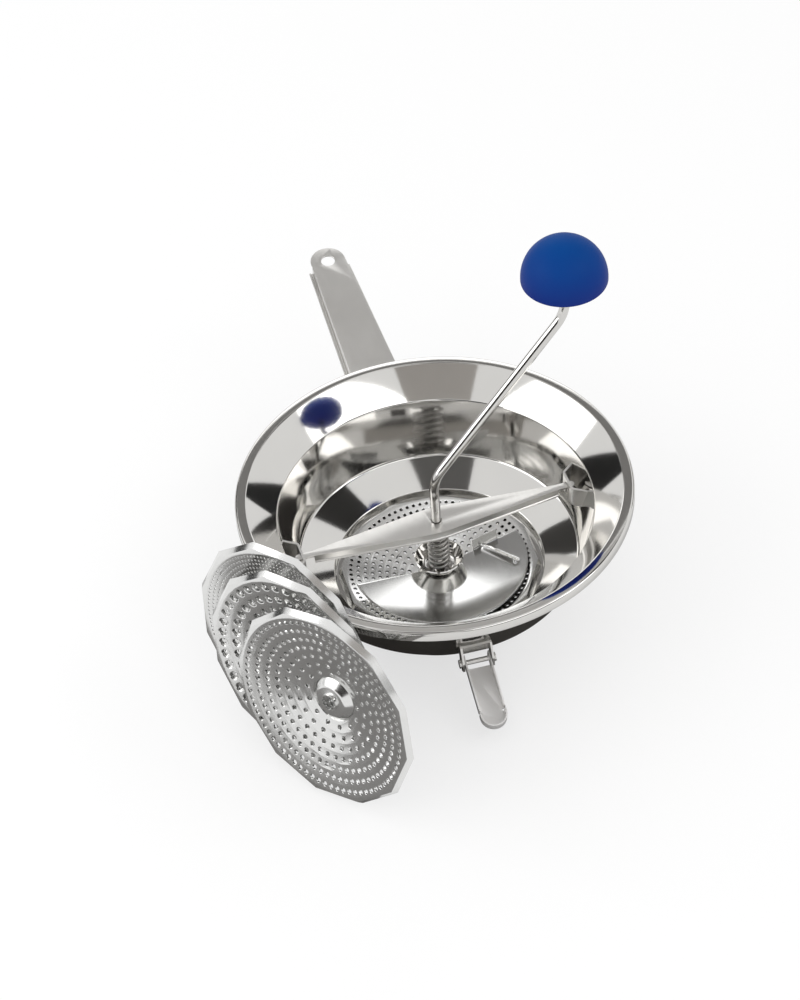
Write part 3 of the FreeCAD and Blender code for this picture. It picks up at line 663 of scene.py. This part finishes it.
def leaned(order, aside, turn, drop):
    """Where a loose disc stands: on its edge, leaning towards the bowl."""
    apex = polar(math.cos(LEAN), LEAN_AZ, -math.sin(LEAN))
    across = polar(1.0, LEAN_AZ + TURN / 4)
    uphill = apex.cross(across)
    tilt = Matrix.Rotation(LEAN_AZ, 4, "Z") @ Matrix.Rotation(TURN / 4 + LEAN, 4, "Y") @ Matrix.Rotation(turn, 4, "Z")
    spot = Vector((0, 0, RIM_Z)) + across * aside - apex * (LEAN_BACK + order * LEAN_STEP)
    base = Matrix.Translation(spot) @ tilt
    corners = [polar(r, TURN * k / DISC_SIDES, z) for r, z in ((FOLD_R, 0.0), (EDGE_R, FLANGE_H))
               for k in range(DISC_SIDES)]
    lowest = min((base @ c).z for c in corners)
    return Matrix.Translation(uphill * (drop - lowest) / uphill.z) @ base


def discs():
    seat = (Matrix.Translation((0, 0, FITTED_Z)) @ Matrix.Rotation(FITTED_TURN, 4, "Z")
            @ Matrix.Rotation(TURN / 2, 4, "X"))
    sets = [("fitted", "bowl", hole_rings(55.0, 19.5, 9, 4.2, 5.6), 1.3, 1.0, 8, seat),
            ("fine", "loose_fine", hole_rings(55.4, 18.5, 14, 2.75, 3.0), 0.8, 0.55, 8,
             leaned(0, 10.0, math.radians(8), 0.0)),
            ("coarse", "loose_coarse", hole_rings(53.4, 19.8, 5, 7.6, 8.6), 3.0, 2.2, 16,
             leaned(1, -10.0, math.radians(8), 0.0)),
            ("medium", "loose_medium", hole_rings(55.0, 18.2, 7, 4.6, 9.0), 1.65, 1.35, 12,
             leaned(2, -42.0, math.radians(2), 0.0))]
    pattern = boss()
    for name, body, rings, crater, hole, sides, where in sets:
        flange = FLANGE_H if name == "fitted" else LOOSE_FLANGE_H
        piece = grating("disc_" + name + "_sheet", rings, crater, hole, sides, flange)
        place(piece, body, TINNED, ["disc_" + name], where, 24.0)
        copy = pattern.copy()
        copy.data = pattern.data.copy()
        copy.name = "boss_" + name + "_dish"
        bpy.context.collection.objects.link(copy)
        place(copy, body, TINNED, ["boss_" + name], where)
    bpy.data.objects.remove(pattern)


def foot():
    right = [Vector((FOOT_HALF, -y, -FOOT_UNDER)) for y in (FOOT_PLATE, FOOT_SLOT_Y)]
    arc = [polar(FOOT_HALF, -math.pi * k / 20, -FOOT_UNDER) + Vector((0, -FOOT_TIP, 0)) for k in range(21)]
    left = [Vector((-p.x, p.y, p.z)) for p in reversed(right)]
    piece = drawn("foot_tray", right + arc + left, True)
    bpy.ops.mesh.select_all(action="SELECT")
    bpy.ops.mesh.edge_face_add()
    wall = FOOT_OVER + FOOT_UNDER
    pick(piece, "EDGE", lambda e: min(v.co.y for v in e.verts) < -FOOT_PLATE - 0.01)
    bpy.ops.mesh.extrude_region_move(TRANSFORM_OT_translate={"value": (0, 0, wall)})
    pick(piece, "EDGE", lambda e: all(abs(v.co.y + FOOT_PLATE) < 0.01 for v in e.verts)
         and abs(e.verts[0].co.z - e.verts[1].co.z) > wall / 2)
    bpy.ops.mesh.extrude_region_move(TRANSFORM_OT_translate={"value": (0, FOOT_PLATE + FOOT_BACK, 0)})
    facing(piece, Vector((0, 0, -1)))
    closed()
    apply(piece, "SOLIDIFY", thickness=FOOT_GAUGE, offset=-1.0, use_even_offset=True)
    for side in (1, -1):
        clear()
        bpy.ops.mesh.primitive_cube_add(size=1.0, location=(side * FOOT_HALF, -FOOT_SLOT_Y - FOOT_SLOT / 2, 0))
        bpy.context.object.scale = (2 * FOOT_SLOT_DEEP, FOOT_SLOT, 4 * wall)
        punch(piece, bpy.context.object)
    drill(piece, FOOT_BORE, 40.0, (0, 0, 0), (0, math.pi / 2, 0), 24)
    soften(piece, 0.35, 3, 35.0)
    where = (Matrix.Rotation(FOOT_TURN, 4, "Z") @ Matrix.Translation((0, -FOOT_R, FOOT_Z))
             @ Matrix.Rotation(FOOT_DROOP, 4, "X"))
    # The foot takes the satin stainless whose colour is brightened as painted light.
    place(piece, "foot", SATIN_LIT_FOOT, ["foot"], where)


def carried_over():
    """Small pieces keep their own solids and take the finish of their kind."""
    finish = {"catch_left": SATIN, "catch_right": SATIN, "foot_bracket": SATIN, "foot_pin": SATIN,
              "spring_washer": SATIN, "blade_hub": SATIN, "drive_pin": SATIN, "knob_snap_ring": POLISHED}
    for node, material in finish.items():
        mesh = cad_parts[node].data
        mesh.materials.clear()
        mesh.materials.append(material)


def floor():
    clear()
    bpy.ops.mesh.primitive_plane_add(size=12.0, location=(0, 0, -0.0002))
    piece = bpy.context.object
    piece.name = "studio_floor"
    material, tree, principled = shader("pale studio floor")
    principled.inputs["Roughness"].default_value = 0.9
    cloud = noise(tree, 3.0, 2.0)
    tree.links.new(tint(tree, cloud, (0.90, 0.90, 0.90), (0.92, 0.92, 0.92)), principled.inputs["Base Color"])
    glow = tree.nodes.new("ShaderNodeEmission")
    glow.inputs["Color"].default_value = (1.0, 1.0, 1.0, 1.0)
    seen = seen_rays(tree)
    share = tree.nodes.new("ShaderNodeMath")
    share.operation = "MULTIPLY"
    share.inputs[1].default_value = FLOOR_WHITE
    tree.links.new(seen, share.inputs[0])
    mix = tree.nodes.new("ShaderNodeMixShader")
    tree.links.new(share.outputs["Value"], mix.inputs["Fac"])
    tree.links.new(principled.outputs["BSDF"], mix.inputs[1])
    tree.links.new(glow.outputs["Emission"], mix.inputs[2])
    tree.links.new(mix.outputs["Shader"], tree.nodes["Material Output"].inputs["Surface"])
    piece.data.materials.append(material)


def seen_rays(tree):
    """1 for rays from the camera, and for mirror and see-through rays."""
    path = tree.nodes.new("ShaderNodeLightPath")
    either = tree.nodes.new("ShaderNodeMath")
    either.operation = "MAXIMUM"
    every = tree.nodes.new("ShaderNodeMath")
    every.operation = "MAXIMUM"
    tree.links.new(path.outputs["Is Camera Ray"], either.inputs[0])
    tree.links.new(path.outputs["Is Glossy Ray"], either.inputs[1])
    tree.links.new(either.outputs["Value"], every.inputs[0])
    tree.links.new(path.outputs["Is Transmission Ray"], every.inputs[1])
    return every.outputs["Value"]


def card(name, centre, size, shade, aim=(0.0, 0.0, 0.05)):
    """A board beside the set that the polished sheet reflects; the camera doesn't see it."""
    clear()
    bpy.ops.mesh.primitive_plane_add(size=1.0)
    piece = bpy.context.object
    piece.name = name
    piece.scale = (size[0], size[1], 1.0)
    piece.location = centre
    piece.rotation_euler = (Vector(centre) - Vector(aim)).to_track_quat("Z", "Y").to_euler()
    material, tree, principled = shader(name)
    principled.inputs["Base Color"].default_value = (*shade, 1.0)
    principled.inputs["Roughness"].default_value = 0.9
    piece.data.materials.append(material)
    stage_board(piece)


def stage_board(piece):
    piece.visible_camera = False
    piece.visible_diffuse = False
    piece.visible_shadow = False


def under_shade():
    """A round board under the bowl, dark in the middle, that only the polished sheet reflects."""
    clear()
    bpy.ops.mesh.primitive_circle_add(vertices=64, radius=SHADE_R, fill_type="NGON", location=(0, 0, 0.0004))
    piece = bpy.context.object
    piece.name = "under_shade"
    material, tree, principled = shader("under_shade")
    coords = tree.nodes.new("ShaderNodeTexCoord")
    reach = tree.nodes.new("ShaderNodeVectorMath")
    reach.operation = "LENGTH"
    tree.links.new(coords.outputs["Object"], reach.inputs[0])
    fade = tree.nodes.new("ShaderNodeMapRange")
    fade.inputs["From Min"].default_value = SHADE_CORE
    fade.inputs["From Max"].default_value = SHADE_R
    tree.links.new(reach.outputs["Value"], fade.inputs["Value"])
    tree.links.new(tint(tree, fade.outputs["Result"], (0.07, 0.065, 0.06), (0.95, 0.95, 0.95)),
                   principled.inputs["Base Color"])
    principled.inputs["Roughness"].default_value = 0.9
    piece.data.materials.append(material)
    stage_board(piece)


def lamp(name, centre, size, watts, aim=(0.0, 0.0, 0.05)):
    light = bpy.data.lights.new(name, "AREA")
    light.shape = "RECTANGLE"
    light.size, light.size_y = size
    light.energy = watts
    holder = bpy.data.objects.new(name, light)
    holder.location = centre
    holder.rotation_euler = (Vector(centre) - Vector(aim)).to_track_quat("Z", "Y").to_euler()
    bpy.context.collection.objects.link(holder)


def studio():
    world = bpy.data.worlds.new("studio")
    bpy.context.scene.world = world
    world.use_nodes = True
    tree = world.node_tree
    ambient = tree.nodes["Background"]
    ambient.inputs["Color"].default_value = (1.0, 1.0, 1.0, 1.0)
    ambient.inputs["Strength"].default_value = 0.85
    white = tree.nodes.new("ShaderNodeBackground")
    white.inputs["Color"].default_value = (1.0, 1.0, 1.0, 1.0)
    white.inputs["Strength"].default_value = 1.0
    mix = tree.nodes.new("ShaderNodeMixShader")
    tree.links.new(seen_rays(tree), mix.inputs["Fac"])
    tree.links.new(ambient.outputs["Background"], mix.inputs[1])
    tree.links.new(white.outputs["Background"], mix.inputs[2])
    tree.links.new(mix.outputs["Shader"], tree.nodes["World Output"].inputs["Surface"])
    lamp("left_panel", (-1.25, 0.12, 0.84), (1.65, 0.84), 7.5)
    lamp("right_panel", (0.443, -0.833, 1.166), (1.15, 0.26), 1.8)
    lamp("right_end_panel", (0.98, -0.52, 1.00), (0.5, 0.5), 1.5)
    lamp("back_panel", (0.28, 1.31, 0.84), (1.0, 0.28), 1.1)
    under_shade()
    card("table_left", (-0.165, -0.12, 0.0006), (0.15, 0.32), (0.22, 0.215, 0.21), (-0.165, -0.12, -1.0))
    card("dark_back_left", (-0.80, 0.85, 0.30), (0.8, 0.30), (0.008, 0.008, 0.008))
    card("dark_right", (1.30, 0.55, 0.31), (0.50, 0.36), (0.008, 0.008, 0.008))
    card("dark_right_high", (0.88, 0.19, 1.20), (0.70, 0.42), (0.02, 0.019, 0.018))
    card("dark_back", (-0.51, 1.20, 0.75), (0.45, 0.36), (0.04, 0.038, 0.036))
    card("dark_front_left", (-0.93, -0.90, 0.80), (1.10, 0.60), (0.03, 0.027, 0.025))
    card("dark_front_right", (0.46, -1.14, 0.86), (1.35, 0.50), (0.04, 0.037, 0.034))
    card("grey_by_camera", (-0.32, -0.70, 1.30), (0.84, 0.40), (0.40, 0.38, 0.36))
    card("grey_back", (0.25, 1.05, 1.08), (1.2, 0.30), (0.24, 0.235, 0.23))
    card("grey_back_high", (0.20, 0.75, 1.36), (1.2, 0.50), (0.54, 0.53, 0.52))
    card("ceiling", (-0.15, -0.13, 1.70), (0.6, 0.76), (0.12, 0.117, 0.114))


FLOOR_WHITE = 0.65
SHADE_R, SHADE_CORE = 0.20, 0.10
CAMERA_PLACE = Vector((-0.28568, -1.04427, 1.12221))
CAMERA_AIM = Vector((-0.02238, -0.00338, 0.084))
CAMERA_ROLL = math.radians(-5.07)
CAMERA_LENS = 90.1


def camera():
    data = bpy.data.cameras.new("photo_view")
    data.lens = CAMERA_LENS
    data.sensor_width = 36.0
    data.clip_end = 50.0
    holder = bpy.data.objects.new("photo_view", data)
    look = (CAMERA_AIM - CAMERA_PLACE).to_track_quat("-Z", "Y").to_matrix().to_4x4()
    holder.matrix_world = Matrix.Translation(CAMERA_PLACE) @ look @ Matrix.Rotation(CAMERA_ROLL, 4, "Z")
    bpy.context.collection.objects.link(holder)
    bpy.context.scene.camera = holder


bowl()
handle()
crossbar()
crank_rod()
knob()
spring()
spring_cup()
blade()
discs()
foot()
carried_over()
floor()
studio()
camera()
bpy.context.scene.view_settings.view_transform = "Standard"
